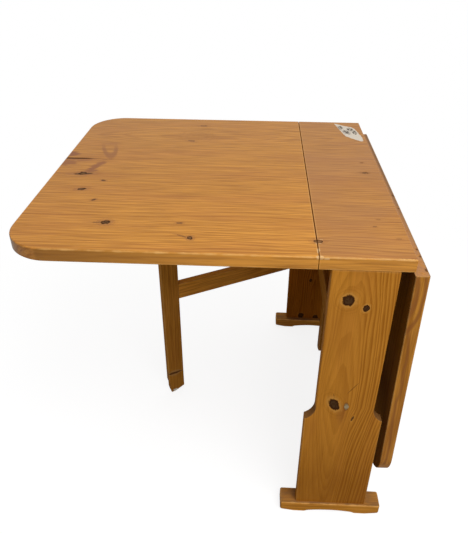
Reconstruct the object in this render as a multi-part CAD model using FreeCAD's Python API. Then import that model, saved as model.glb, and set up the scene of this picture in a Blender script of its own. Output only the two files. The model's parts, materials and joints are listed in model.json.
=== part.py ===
# Pine gateleg table with a narrow fixed centre board and two drop leaves.
#
# Each leaf hangs on two flap hinges and is carried, when raised, by a gate: a leg and a pivot
# stile joined by two tenoned rails, which swings on two steel pins. The two gates face each other
# by a half turn about the table's upright axis, so every right-hand piece below is the left-hand
# piece turned by 180 degrees, and the other way round. The table is set as it stands in use at one
# side: left gate swung out, left leaf up on it, right gate shut and right leaf hanging.
#
# Working frame: X across the table, Y along the leaf joints, Z up from the floor, with the
# upright axis through the middle of the centre board. Pieces are written out in the same
# directions, with the origin on the floor below the middle of the whole table's bounding box.

import FreeCAD, Part

import math
import os

from FreeCAD import Vector

# ---- Driving dimensions, millimetres ---------------------------------------------------------

TABLE_HEIGHT = 740.0
TABLE_DEPTH = 765.0           # along the leaf joints
CENTRE_WIDTH = 175.0          # the fixed centre board
LEAF_FLOOR_GAP = 111.0        # a hanging leaf's free edge above the floor
BOARD = 27.0                  # thickness of the centre board and the leaves
LEAF_CORNER = 90.0            # plan radius of a leaf's two free corners
JOINT_GAP = 1.2               # between the centre board and a raised leaf
HANG_LEAN = 1.2               # degrees from upright, a hanging leaf's free edge outermost
TOP_ARRIS = 3.0               # rounding of the upper outer edges
LOWER_ARRIS = 1.5             # rounding of the lower outer edges
JOINT_ARRIS = 0.8             # easing of the edges along a leaf joint

PANEL_THICKNESS = 22.0        # end panels
PANEL_SETBACK = 0.5           # end panel's face behind the end of the centre board
PANEL_LEAF_GAP = 4.4          # between the wide part of a panel and an upright leaf
PANEL_STEP = 21.5             # how far each edge steps in at the shoulder
PANEL_SHOULDER = 323.0        # height of the shoulder's corner
COVE_RADIUS = 40.0            # hollow between the shoulder and the narrow part
PANEL_ARRIS = 1.5
PANEL_TENON = (120.0, 10.0, 12.0)     # tenon into the foot: width, thickness, length

FOOT_OVERHANG = 37.5          # foot beyond each edge of the panel
FOOT_WIDTH = 44.0
FOOT_HEIGHT = 30.0
FOOT_TOE = 5.5                # foot beyond the end of the centre board
FOOT_PAD = (62.0, 88.0)       # each bearing pad, from and to, measured from the middle
FOOT_ARCH_STEP = (8.0, 4.0)   # short rise at each end of the arch: along, up
FOOT_ARCH_HEIGHT = 8.5
FOOT_END_LIFT = 6.0           # the ends curve up from the pads
FOOT_CORNER = 5.0             # plan rounding of the foot's corners
FOOT_ARRIS = 2.0

RAIL_THICKNESS = 22.0         # stretcher and top rail, on edge between the panels
RAIL_HEIGHT = 65.0
RAIL_TENON = (14.0, 45.0, 8.0)        # thickness, height, length into a panel

GATE_THICKNESS = 21.0         # every piece of a gate
GATE_GAP = 9.0                # between a shut gate and the stretcher
GATE_OPENING = 61.3           # degrees the left gate stands open
PIVOT_FROM_HINGE = 18.0       # gate pivot axis inward of the nearest hinge
LEG_END_GAP = 111.0           # shut leg's outer edge to the far panel
LEG_WIDTH = 48.0
STILE_WIDTH = 34.5            # pivot axis to the stile's inner edge
GATE_RAIL = 49.0              # height of both gate rails
LOWER_RAIL_BOTTOM = 345.0
UPPER_RAIL_DROP = 14.0        # upper rail's top below the underside of the leaves
LEG_TOP_PLAY = 0.3            # leg below the leaf that it carries
GATE_TENON = (8.0, 6.0, 22.0)         # thickness, shoulder above and below, length
GATE_ARRIS = 2.0
SOLE = (6.0, 16.0)            # leg's bearing end, from and to, in from the outer edge
SOLE_INNER_LIFT = 15.0        # chamfer height on the inner side
SOLE_OUTER_LIFT = 13.0        # chamfer height on the outer side
TOE_SETBACK = 3.5             # outer edge steps in above the foot
TOE_STEP = (30.0, 47.0)       # between these heights

PIVOT_PIN_RADIUS = 4.0
PIVOT_PIN_IN_GATE = 24.0
PIVOT_PIN_IN_BLOCK = 11.5
PIVOT_PLAY = 0.5              # above and below the stile
LOWER_BLOCK = (44.0, 15.0)    # under the stretcher: length, thickness
UPPER_BLOCK_LENGTH = 60.0
BLOCK_BEYOND_PIVOT = 14.0     # block's edges beyond the pivot axis, short of the hinge
RUNNING_CLEARANCE = 0.08      # pin in the stile, radial
SEAT_CLEARANCE = 0.03         # pin in its block, radial

HINGE_DROP = 4.0              # hinge axis below the underside of the boards
HINGE_INSET = 3.2             # hinge axis inward of the middle of the leaf joint
HINGE_FROM_END = 100.0        # middle of a hinge from the end of the board
HINGE_LENGTH = 50.0
HINGE_FLAP = 30.0             # hinge axis to a flap's far edge
HINGE_PLATE = 2.0
HINGE_PLATE_START = 1.2       # hinge axis to where a flap leaves its knuckles
HINGE_EASING = 1.6            # chamfer there, clear of the centre board's corner
KNUCKLE_COUNT = 3
KNUCKLE_GAP = 0.4             # between knuckles, and between them and the boards
HINGE_PIN_RADIUS = 1.5
HINGE_PIN_CLEARANCE = 0.05
HINGE_CORNER = 3.0

CLEAT = (40.0, 20.0, 20.0)    # fixing cleats under the centre board: X, Y, Z
CLEAT_FROM_RAIL = 2.0
STRETCHER_SCREW_RISE = 20.5   # above the bottom of the stretcher
STRETCHER_SCREW_OFFSET = 3.0  # plug stands a little off the stretcher's middle
STRETCHER_SCREW = (4.2, 2.5, 3.0, 62.0)   # head radius, shank radius, head and full length
SCREW_CLEARANCE = 0.05
PLUG_RADIUS = 5.0
PLUG_LENGTH = 6.0

# ---- Places worked out from the driving dimensions -------------------------------------------

HALF_DEPTH = TABLE_DEPTH / 2
HALF_CENTRE = CENTRE_WIDTH / 2
UNDERSIDE = TABLE_HEIGHT - BOARD
HINGE_X = HALF_CENTRE + JOINT_GAP / 2 - HINGE_INSET
HINGE_Z = UNDERSIDE - HINGE_DROP
LEAF_INNER = HALF_CENTRE + JOINT_GAP
LEAF_REACH = HINGE_Z - (LEAF_INNER - HINGE_X) - LEAF_FLOOR_GAP
LEAF_OUTER = LEAF_INNER + LEAF_REACH
PANEL_FRONT = -HALF_DEPTH + PANEL_SETBACK
PANEL_BACK = PANEL_FRONT + PANEL_THICKNESS
PANEL_HALF_WIDE = HINGE_X + HINGE_DROP - PANEL_LEAF_GAP
PANEL_HALF_NARROW = PANEL_HALF_WIDE - PANEL_STEP
FOOT_HALF = PANEL_HALF_WIDE + FOOT_OVERHANG
FOOT_FRONT = -HALF_DEPTH - FOOT_TOE
STRETCHER_BOTTOM = LOWER_RAIL_BOTTOM - PIVOT_PLAY
UPPER_RAIL_TOP = UNDERSIDE - UPPER_RAIL_DROP
PIVOT_X = RAIL_THICKNESS / 2 + GATE_GAP + GATE_THICKNESS / 2
PIVOT_Y = HALF_DEPTH - HINGE_FROM_END - HINGE_LENGTH / 2 - PIVOT_FROM_HINGE
GATE_REACH = PIVOT_Y - PANEL_BACK - LEG_END_GAP
HINGE_STATIONS = (-HALF_DEPTH + HINGE_FROM_END, HALF_DEPTH - HINGE_FROM_END)
KNUCKLE_RADIUS = HINGE_DROP - KNUCKLE_GAP
STRETCHER_SCREW_HEIGHT = STRETCHER_BOTTOM + STRETCHER_SCREW_RISE

# The table spans from the raised left leaf's edge to the hanging right leaf or the feet's right ends.
# A hanging leaf reaches farthest out on the rounding of its lowest upper-face edge.
LEAN = math.radians(HANG_LEAN)
HANGING_FACE = (HINGE_X + (LEAF_OUTER - HINGE_X - TOP_ARRIS) * math.sin(LEAN)
                + (HINGE_DROP + BOARD - TOP_ARRIS) * math.cos(LEAN) + TOP_ARRIS)
FRAME_SHIFT = Vector((LEAF_OUTER - max(HANGING_FACE, FOOT_HALF)) / 2, 0, 0)

Y_AXIS = Vector(0, 1, 0)
Z_AXIS = Vector(0, 0, 1)
FLAT = 1e-4


# ---- Shared helpers --------------------------------------------------------------------------

def box(x0, x1, y0, y1, z0, z1):
    """Straight block between two planes along each axis."""
    return Part.makeBox(x1 - x0, y1 - y0, z1 - z0, Vector(x0, y0, z0))


def profile(start, moves, y0, y1):
    """Board whose XZ outline is a run of points; a (middle, end) pair is an arc."""
    to_3d = lambda point: Vector(point[0], y0, point[1])
    here = to_3d(start)
    edges = []
    for move in moves:
        if isinstance(move[0], tuple):
            middle, end = to_3d(move[0]), to_3d(move[1])
            edges.append(Part.Arc(here, middle, end).toShape())
        else:
            end = to_3d(move)
            edges.append(Part.makeLine(here, end))
        here = end
    edges.append(Part.makeLine(here, to_3d(start)))
    return Part.Face(Part.Wire(edges)).extrude(Vector(0, y1 - y0, 0))


def turned(shape, angle, axis=Z_AXIS, about=Vector()):
    """Copy of a shape turned by an angle in degrees."""
    copy = shape.copy()
    copy.rotate(about, axis, angle)
    return copy


def moved(shape, x, y, z):
    """Copy of a shape moved by x, y and z."""
    copy = shape.copy()
    copy.translate(Vector(x, y, z))
    return copy


def half_turn(shape):
    """The same piece on the other side of the table."""
    return turned(shape, 180)


def rounded(shape, radius, wanted):
    """Shape with the edges that pass a test rounded."""
    edges = [edge for edge in shape.Edges if wanted(edge)]
    return shape.makeFillet(radius, edges)


def chamfered(shape, size, wanted):
    """Shape with the edges that pass a test chamfered."""
    edges = [edge for edge in shape.Edges if wanted(edge)]
    return shape.makeChamfer(size, edges)


def spans(edge, axis):
    """Length of an edge's bounding box along X, Y or Z."""
    return getattr(edge.BoundBox, axis + "Length")


def at(edge, axis, value):
    """Whether an edge lies in the plane where one coordinate has a value."""
    low = getattr(edge.BoundBox, axis + "Min")
    high = getattr(edge.BoundBox, axis + "Max")
    return abs(low - value) < FLAT and abs(high - value) < FLAT


def runs_beside(edge, planes):
    """Whether an edge runs along Y beside one of a board's leaf joints."""
    return spans(edge, "X") < FLAT and any(abs(edge.BoundBox.XMin - x) < TOP_ARRIS for x in planes)


def upright(edge):
    """Whether an edge runs straight up."""
    return spans(edge, "X") < FLAT and spans(edge, "Y") < FLAT


def group(solids):
    """Separate solids that share one node."""
    return Part.makeCompound(list(solids))


# ---- Centre board and leaves -----------------------------------------------------------------

def top_board(x_inner, x_outer, corner):
    """Board of the table top; x_inner, and x_outer too where it has no corner, is a joint."""
    slab = box(x_inner, x_outer, -HALF_DEPTH, HALF_DEPTH, UNDERSIDE, TABLE_HEIGHT)
    joints = [x_inner] if corner else [x_inner, x_outer]
    if corner:
        slab = rounded(slab, corner, lambda edge: upright(edge) and at(edge, "X", x_outer))
    on_joint = lambda edge: any(at(edge, "X", x) for x in joints)
    top = lambda edge: at(edge, "Z", TABLE_HEIGHT)
    below = lambda edge: at(edge, "Z", UNDERSIDE)
    slab = chamfered(slab, JOINT_ARRIS, lambda edge: top(edge) and on_joint(edge))
    slab = rounded(slab, TOP_ARRIS, lambda edge: top(edge) and not runs_beside(edge, joints))
    return chamfered(slab, LOWER_ARRIS, lambda edge: below(edge) and not on_joint(edge))


def raised_right_leaf():
    """Right leaf as it lies when raised."""
    return top_board(LEAF_INNER, LEAF_OUTER, LEAF_CORNER)


# ---- Flap hinges -----------------------------------------------------------------------------

def hinge_flap(knuckles):
    """Flap of a hinge towards +X, with its own knuckles, about an axis along Y at the origin."""
    half = HINGE_LENGTH / 2
    pitch = HINGE_LENGTH / KNUCKLE_COUNT
    plate = box(HINGE_PLATE_START, HINGE_FLAP, -half, half, HINGE_DROP - HINGE_PLATE, HINGE_DROP)
    far_corner = lambda edge: upright(edge) and at(edge, "X", HINGE_FLAP)
    near_edge = lambda edge: at(edge, "X", HINGE_PLATE_START) and at(edge, "Z", HINGE_DROP)
    plate = chamfered(plate, HINGE_CORNER, far_corner)
    plate = chamfered(plate, HINGE_EASING, near_edge)
    for index in range(KNUCKLE_COUNT):
        start = -half + index * pitch
        if index in knuckles:
            length = pitch - KNUCKLE_GAP
            foot = Vector(0, start + KNUCKLE_GAP / 2, 0)
            plate = plate.fuse(Part.makeCylinder(KNUCKLE_RADIUS, length, foot, Y_AXIS))
        else:
            edge = KNUCKLE_RADIUS + KNUCKLE_GAP
            plate = plate.cut(box(0, edge, start, start + pitch, 0, HINGE_DROP))
    bore = Part.makeCylinder(HINGE_PIN_RADIUS + HINGE_PIN_CLEARANCE, HINGE_LENGTH,
                             Vector(0, -half, 0), Y_AXIS)
    return plate.cut(bore).removeSplitter()


def hinge_pin():
    """Pin through all the knuckles, along Y."""
    return Part.makeCylinder(HINGE_PIN_RADIUS, HINGE_LENGTH, Vector(0, -HINGE_LENGTH / 2, 0), Y_AXIS)


def right_hinge_pieces():
    """The right-hand hinges with the leaf raised."""
    odd = range(1, KNUCKLE_COUNT, 2)
    even = range(0, KNUCKLE_COUNT, 2)
    leaf_flap = hinge_flap(odd)
    fixed_flap = turned(hinge_flap(even), 180)
    row = lambda piece: [moved(piece, HINGE_X, station, HINGE_Z) for station in HINGE_STATIONS]
    return {
        "leaf_hinge_flaps": group(row(leaf_flap)),
        "fixed_hinge_flaps": group(row(fixed_flap)),
        "hinge_pins": group(row(hinge_pin())),
    }


def lowered(shape):
    """Right-hand piece that hangs with its leaf."""
    return turned(shape, 90 - HANG_LEAN, Y_AXIS, Vector(HINGE_X, 0, HINGE_Z))


# ---- End panels and feet ---------------------------------------------------------------------

def panel_outline():
    """Start point and moves of an end panel: wide foot, hollow shoulders, narrow neck."""
    turn = math.acos((COVE_RADIUS - PANEL_STEP) / COVE_RADIUS)
    neck = PANEL_SHOULDER + COVE_RADIUS * math.sin(turn)
    middle_x = PANEL_HALF_NARROW + COVE_RADIUS * (1 - math.cos(turn / 2))
    middle_z = neck - COVE_RADIUS * math.sin(turn / 2)
    start = (-PANEL_HALF_WIDE, FOOT_HEIGHT)
    moves = [
        (PANEL_HALF_WIDE, FOOT_HEIGHT),
        (PANEL_HALF_WIDE, PANEL_SHOULDER),
        ((middle_x, middle_z), (PANEL_HALF_NARROW, neck)),
        (PANEL_HALF_NARROW, UNDERSIDE),
        (-PANEL_HALF_NARROW, UNDERSIDE),
        (-PANEL_HALF_NARROW, neck),
        ((-middle_x, middle_z), (-PANEL_HALF_WIDE, PANEL_SHOULDER)),
    ]
    return start, moves


def rail_tenon(bottom, clearance=0.0):
    """Stub tenon of a rail in the front panel, or its mortise."""
    thickness, height, length = RAIL_TENON
    middle = bottom + RAIL_HEIGHT / 2
    return box(-thickness / 2, thickness / 2, PANEL_BACK - length - clearance, PANEL_BACK,
               middle - height / 2, middle + height / 2)


def foot_tenon(clearance=0.0):
    """Tenon of the front panel in its foot, or its mortise."""
    width, thickness, length = PANEL_TENON
    middle = PANEL_FRONT + PANEL_THICKNESS / 2
    return box(-width / 2, width / 2, middle - thickness / 2, middle + thickness / 2,
               FOOT_HEIGHT - length - clearance, FOOT_HEIGHT)


def front_panel():
    """Front end panel with its tenon and the mortises for the two rails."""
    start, moves = panel_outline()
    panel = profile(start, moves, PANEL_FRONT, PANEL_BACK)
    outer = lambda edge: at(edge, "Y", PANEL_FRONT) or at(edge, "Y", PANEL_BACK)
    seated = lambda edge: at(edge, "Z", FOOT_HEIGHT) or at(edge, "Z", UNDERSIDE)
    panel = chamfered(panel, PANEL_ARRIS, lambda edge: outer(edge) and not seated(edge))
    panel = panel.fuse(foot_tenon())
    mortises = [rail_tenon(STRETCHER_BOTTOM, SEAT_CLEARANCE),
                rail_tenon(UNDERSIDE - RAIL_HEIGHT, SEAT_CLEARANCE)]
    return panel.cut(mortises)


def front_foot():
    """Front foot: bar on two pads with a shallow arch between them and lifted ends."""
    pad_in, pad_out = FOOT_PAD
    step_along, step_up = FOOT_ARCH_STEP
    spring = pad_in - step_along
    start = (-FOOT_HALF, FOOT_HEIGHT)
    moves = [
        (-FOOT_HALF, FOOT_END_LIFT),
        (-pad_out, 0),
        (-pad_in, 0),
        (-spring, step_up),
        ((0, FOOT_ARCH_HEIGHT), (spring, step_up)),
        (pad_in, 0),
        (pad_out, 0),
        (FOOT_HALF, FOOT_END_LIFT),
        (FOOT_HALF, FOOT_HEIGHT),
    ]
    foot = profile(start, moves, FOOT_FRONT, FOOT_FRONT + FOOT_WIDTH)
    foot = rounded(foot, FOOT_CORNER, upright)
    foot = chamfered(foot, FOOT_ARRIS, lambda edge: at(edge, "Z", FOOT_HEIGHT))
    return foot.cut(foot_tenon(SEAT_CLEARANCE))


def rail(bottom):
    """Rail on edge between the two panels, with a stub tenon at each end."""
    bar = box(-RAIL_THICKNESS / 2, RAIL_THICKNESS / 2, PANEL_BACK, -PANEL_BACK,
              bottom, bottom + RAIL_HEIGHT)
    front_tenon = rail_tenon(bottom)
    return bar.fuse([front_tenon, half_turn(front_tenon)]).removeSplitter()


def stretcher_screw(clearance=0.0):
    """Long screw through the front panel into the stretcher's end, below a plug, or its hole."""
    head_radius, shank_radius, head_length, length = STRETCHER_SCREW
    place = Vector(STRETCHER_SCREW_OFFSET, PANEL_FRONT + PLUG_LENGTH, STRETCHER_SCREW_HEIGHT)
    head = Part.makeCylinder(head_radius + clearance, head_length, place, Y_AXIS)
    shank = Part.makeCylinder(shank_radius + clearance, length + clearance, place, Y_AXIS)
    return head.fuse(shank).removeSplitter()


def plug(clearance=0.0):
    """Wooden plug over the stretcher screw, flush with the front panel."""
    place = Vector(STRETCHER_SCREW_OFFSET, PANEL_FRONT, STRETCHER_SCREW_HEIGHT)
    return Part.makeCylinder(PLUG_RADIUS + clearance, PLUG_LENGTH, place, Y_AXIS)


def front_cleats():
    """The two fixing cleats in the corners between the front panel and the centre board."""
    width, depth, height = CLEAT
    inner = RAIL_THICKNESS / 2 + CLEAT_FROM_RAIL
    cleat = box(inner, inner + width, PANEL_BACK, PANEL_BACK + depth,
                UNDERSIDE - height, UNDERSIDE)
    return [cleat, moved(cleat, -2 * inner - width, 0, 0)]


# ---- Gates, each built along +X from its pivot axis ------------------------------------------

def gate_tenon(bottom, x_from, x_to, clearance=0.0):
    """Tenon of a gate rail between two distances from the pivot, or its mortise."""
    thickness, shoulder, _ = GATE_TENON
    return box(x_from - clearance, x_to + clearance, -thickness / 2, thickness / 2,
               bottom + shoulder, bottom + GATE_RAIL - shoulder)


def gate_tenons(bottom, clearance=0.0):
    """The tenons at the two ends of a gate rail, or their mortises."""
    length = GATE_TENON[2]
    leg_edge = GATE_REACH - LEG_WIDTH
    return [gate_tenon(bottom, STILE_WIDTH - length, STILE_WIDTH, clearance),
            gate_tenon(bottom, leg_edge, leg_edge + length, clearance)]


def gate_rail(bottom):
    """Gate rail with its tenons."""
    half = GATE_THICKNESS / 2
    bar = box(STILE_WIDTH, GATE_REACH - LEG_WIDTH, -half, half, bottom, bottom + GATE_RAIL)
    bar = rounded(bar, GATE_ARRIS, lambda edge: spans(edge, "X") > FLAT)
    return bar.fuse(gate_tenons(bottom)).removeSplitter()


def gate_leg(rail_bottoms):
    """Leg with its bottom corners cut away and its outer edge set back above the sole."""
    half = GATE_THICKNESS / 2
    inner, outer = GATE_REACH - LEG_WIDTH, GATE_REACH
    toe = outer - TOE_SETBACK
    top = UNDERSIDE - LEG_TOP_PLAY
    moves = [
        (outer - SOLE[1], 0),
        (outer - SOLE[0], 0),
        (toe, SOLE_OUTER_LIFT),
        (toe, TOE_STEP[0]),
        (outer, TOE_STEP[1]),
        (outer, top),
        (inner, top),
    ]
    leg = profile((inner, SOLE_INNER_LIFT), moves, -half, half)
    leg = rounded(leg, GATE_ARRIS,
                  lambda edge: upright(edge) and (at(edge, "X", inner) or at(edge, "X", outer)))
    mortises = [hole for bottom in rail_bottoms for hole in gate_tenons(bottom, SEAT_CLEARANCE)]
    return leg.cut(mortises)


def gate_stile(rail_bottoms):
    """Pivot stile: its back edge is a half round about the pivot axis, bored for both pins."""
    half = GATE_THICKNESS / 2
    low, high = LOWER_RAIL_BOTTOM, UPPER_RAIL_TOP
    bar = box(0, STILE_WIDTH, -half, half, low, high)
    bar = rounded(bar, GATE_ARRIS, lambda edge: upright(edge) and at(edge, "X", STILE_WIDTH))
    bar = bar.fuse(Part.makeCylinder(half, high - low, Vector(0, 0, low))).removeSplitter()
    radius = PIVOT_PIN_RADIUS + RUNNING_CLEARANCE
    depth = PIVOT_PIN_IN_GATE + PIVOT_PLAY
    bores = [Part.makeCylinder(radius, depth, Vector(0, 0, low)),
             Part.makeCylinder(radius, depth, Vector(0, 0, high - depth))]
    mortises = [hole for bottom in rail_bottoms for hole in gate_tenons(bottom, SEAT_CLEARANCE)]
    return bar.cut(bores + mortises)


def gate_pieces():
    """All pieces of a gate, about its pivot axis."""
    bottoms = (LOWER_RAIL_BOTTOM, UPPER_RAIL_TOP - GATE_RAIL)
    return {
        "gate_leg": gate_leg(bottoms),
        "gate_stile": gate_stile(bottoms),
        "gate_lower_rail": gate_rail(bottoms[0]),
        "gate_upper_rail": gate_rail(bottoms[1]),
    }


def left_gate(shape, opening):
    """Left-hand gate piece, swung out by an angle from lying shut along -Y."""
    return moved(turned(shape, -90 - opening), -PIVOT_X, PIVOT_Y, 0)


# ---- Gate pivots, left-hand ------------------------------------------------------------------

def pivot_pins(clearance=0.0):
    """Lower and upper pin of the left gate or, with a clearance, their seats in the blocks."""
    radius = PIVOT_PIN_RADIUS + clearance
    length = PIVOT_PIN_IN_GATE + PIVOT_PIN_IN_BLOCK + PIVOT_PLAY
    low = LOWER_RAIL_BOTTOM - PIVOT_PLAY - PIVOT_PIN_IN_BLOCK
    high = UPPER_RAIL_TOP - PIVOT_PIN_IN_GATE
    return [Part.makeCylinder(radius, length, Vector(-PIVOT_X, PIVOT_Y, low)),
            Part.makeCylinder(radius, length, Vector(-PIVOT_X, PIVOT_Y, high))]


def pivot_blocks():
    """Lower block under the stretcher and upper block under the centre board."""
    length, thickness = LOWER_BLOCK
    edge = -PIVOT_X - BLOCK_BEYOND_PIVOT
    rail_face = RAIL_THICKNESS / 2
    lower = box(edge, rail_face, PIVOT_Y - length / 2, PIVOT_Y + length / 2,
                STRETCHER_BOTTOM - thickness, STRETCHER_BOTTOM)
    end = PIVOT_Y + BLOCK_BEYOND_PIVOT
    upper = box(edge, -rail_face, end - UPPER_BLOCK_LENGTH, end,
                UPPER_RAIL_TOP + PIVOT_PLAY, UNDERSIDE)
    seats = pivot_pins(SEAT_CLEARANCE)
    return lower.cut(seats), upper.cut(seats)


# ---- The whole table -------------------------------------------------------------------------

def leaves_and_hinges():
    """Leaves and hinges: the left leaf raised, the right leaf hanging."""
    pieces = right_hinge_pieces()
    pieces["leaf"] = raised_right_leaf()
    table = {}
    for name, shape in pieces.items():
        hangs = name.startswith("leaf")
        table["left_" + name] = half_turn(shape)
        table["right_" + name] = lowered(shape) if hangs else shape
    return table


def stand():
    """Fixed framework: feet, panels, rails, centre board, cleats, plugs and gate pivots."""
    both = lambda solids: group(list(solids) + [half_turn(solid) for solid in solids])
    screw_holes = both([stretcher_screw(SCREW_CLEARANCE)])
    panel = front_panel().cut([screw_holes, plug(SEAT_CLEARANCE)])
    lower_block, upper_block = pivot_blocks()
    pins = group(pivot_pins())
    foot = front_foot()
    return {
        "centre_top": top_board(-HALF_CENTRE, HALF_CENTRE, 0),
        "front_end_panel": panel,
        "rear_end_panel": half_turn(panel),
        "front_foot": foot,
        "rear_foot": half_turn(foot),
        "stretcher": rail(STRETCHER_BOTTOM).cut(screw_holes),
        "top_rail": rail(UNDERSIDE - RAIL_HEIGHT),
        "top_cleats": both(front_cleats()),
        "stretcher_screws": both([stretcher_screw()]),
        "stretcher_plugs": both([plug()]),
        "left_lower_pivot_block": lower_block,
        "right_lower_pivot_block": half_turn(lower_block),
        "left_upper_pivot_block": upper_block,
        "right_upper_pivot_block": half_turn(upper_block),
        "left_gate_pins": pins,
        "right_gate_pins": half_turn(pins),
    }


def gates():
    """Left gate swung out, right gate shut."""
    table = {}
    for name, shape in gate_pieces().items():
        table["left_" + name] = left_gate(shape, GATE_OPENING)
        table["right_" + name] = half_turn(left_gate(shape, 0))
    return table


def main():
    os.makedirs("parts", exist_ok=True)
    table = {**stand(), **leaves_and_hinges(), **gates()}
    for name, shape in table.items():
        shape.translate(FRAME_SHIFT)
        shape.exportStep("parts/" + name + ".step")
        print(name, len(shape.Solids), "solids", round(shape.Volume / 1000, 1), "cm3")
    print("leaf reach", LEAF_REACH, "gate reach", GATE_REACH)
    print("middle of the centre board at x", FRAME_SHIFT.x)
    print("gate pivots at x", FRAME_SHIFT.x - PIVOT_X, FRAME_SHIFT.x + PIVOT_X, "y", PIVOT_Y, -PIVOT_Y)
    print("hinge axes at x", FRAME_SHIFT.x - HINGE_X, FRAME_SHIFT.x + HINGE_X, "z", HINGE_Z)


main()
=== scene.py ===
# %% [markdown]
# # A pine gateleg table, from its CAD frame to finished wood
# The table has a narrow fixed board in the middle and a leaf on each side. One leaf is up, held by
# a gate leg that swings out from under the middle. The other leaf hangs. All the boards come from
# the CAD frame with their true shape. What is left to make here is what a joiner would call the
# finish: the wood itself, its knots and wear, the screws, and a scrap of torn paper on the top.
# Loading the frame first fixes every size, so nothing below has to be fitted by eye.

import json
import math
import random

import bmesh
import bpy
from mathutils import Matrix, Vector


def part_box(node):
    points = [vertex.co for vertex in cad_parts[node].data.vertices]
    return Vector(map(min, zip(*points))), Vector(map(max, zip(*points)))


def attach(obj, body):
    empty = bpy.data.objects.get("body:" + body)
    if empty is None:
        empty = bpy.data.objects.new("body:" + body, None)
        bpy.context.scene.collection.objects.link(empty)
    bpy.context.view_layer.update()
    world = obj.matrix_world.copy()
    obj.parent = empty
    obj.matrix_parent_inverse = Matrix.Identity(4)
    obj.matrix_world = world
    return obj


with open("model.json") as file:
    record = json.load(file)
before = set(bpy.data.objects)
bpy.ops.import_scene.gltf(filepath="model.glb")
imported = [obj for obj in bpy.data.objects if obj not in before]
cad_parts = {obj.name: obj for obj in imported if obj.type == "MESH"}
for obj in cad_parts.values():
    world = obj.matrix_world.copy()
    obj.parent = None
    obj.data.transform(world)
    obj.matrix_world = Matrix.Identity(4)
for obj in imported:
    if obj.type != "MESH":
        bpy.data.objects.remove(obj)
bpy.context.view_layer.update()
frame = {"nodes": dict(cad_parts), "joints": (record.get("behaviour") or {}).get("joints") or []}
nodes = frame["nodes"]

# %% [markdown]
# ## A ruler for the table
# A joiner measures from the table itself: sideways from the middle of the fixed board, inwards from
# its front edge and up from the floor, in millimetres. Every mark below is given that way. The
# origin comes from the fixed board's own box, so the ruler moves with the frame if a size changes.

# %% Ruler
MM = 0.001
low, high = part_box("centre_top")
RULER = Vector(((low.x + high.x) / 2, low.y, 0))
TOP = high.z / MM
UNDERSIDE = low.z / MM
DEPTH = (high.y - low.y) / MM
HALF_CENTRE = (high.x - low.x) / 2 / MM


def place(x, y, z):
    """A point in the frame, in metres, from the table's own ruler."""
    return RULER + Vector((x, y, z)) * MM


def span(node):
    """Lowest and highest corner of a node on the table's ruler."""
    return [(corner - RULER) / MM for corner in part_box(node)]


print("ruler starts at", [round(c, 4) for c in RULER], "top at", round(TOP, 1))

# %% Hinge lines
JOINTS = {joint["name"]: joint for joint in frame["joints"]}


def turning_line(joint):
    """A point on a joint's axis, on the table's ruler."""
    return (Vector(JOINTS[joint]["pos_m"]) - RULER) / MM


FOLD = turning_line("right_leaf_fold")
LEAN = math.radians(90 - JOINTS["right_leaf_fold"]["range_deg"][1])
print("hanging leaf turns about x", round(FOLD.x, 1), "z", round(FOLD.z, 1), "and leans out",
      round(math.degrees(LEAN), 2), "degrees")

# %% [markdown]
# ## Camera
# A person standing in front of the table, a little left of its folded side, looks down on it. The
# camera is placed on the table's ruler and turned by three small angles, which say more than a
# matrix would: how far round it looks, how far down, and how far it leans.

# %% Camera
SENSOR_WIDTH = 36.0
LENS = 37.416
EYE = (-203.1, -852.7, 1260.9)
LOOK_ROUND, LOOK_DOWN, LEAN_OVER = 0.04480, -0.57011, -0.00697


def set_down(name, data):
    """A new object in the scene, at the origin."""
    made = bpy.data.objects.new(name, data)
    bpy.context.scene.collection.objects.link(made)
    return made


camera = set_down("camera", bpy.data.cameras.new("camera"))
camera.data.sensor_width = SENSOR_WIDTH
camera.data.lens = LENS
turn = Matrix.Rotation(LOOK_ROUND, 3, "Z") @ Matrix.Rotation(LOOK_DOWN, 3, "X")
turn = turn @ Matrix.Rotation(LEAN_OVER, 3, "Y") @ Matrix.Rotation(math.pi / 2, 3, "X")
camera.matrix_world = Matrix.Translation(place(*EYE)) @ turn.to_4x4()
bpy.context.scene.camera = camera
print("camera at", [round(c, 3) for c in camera.location], "lens", round(camera.data.lens, 1))

# %% [markdown]
# ## Writing shader maths as plain expressions
# A wood pattern is a lot of arithmetic: distances, rings, masks. Placing each Math node by hand
# would bury the idea, so one small class wraps a socket and adds the nodes when two wires are
# added, multiplied or divided. Any other node goes through one method that sets the node's
# settings first and then its sockets, which is the order Blender wants. The steps that a wood
# finish repeats, such as a soft mask, noise and layers of colour, are methods of their own.

# %% Wire: a socket that can be calculated with
SEED_MOVES = (7.3, 3.1, 11.7)      # how far one step of the seed moves a noise along each axis


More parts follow.
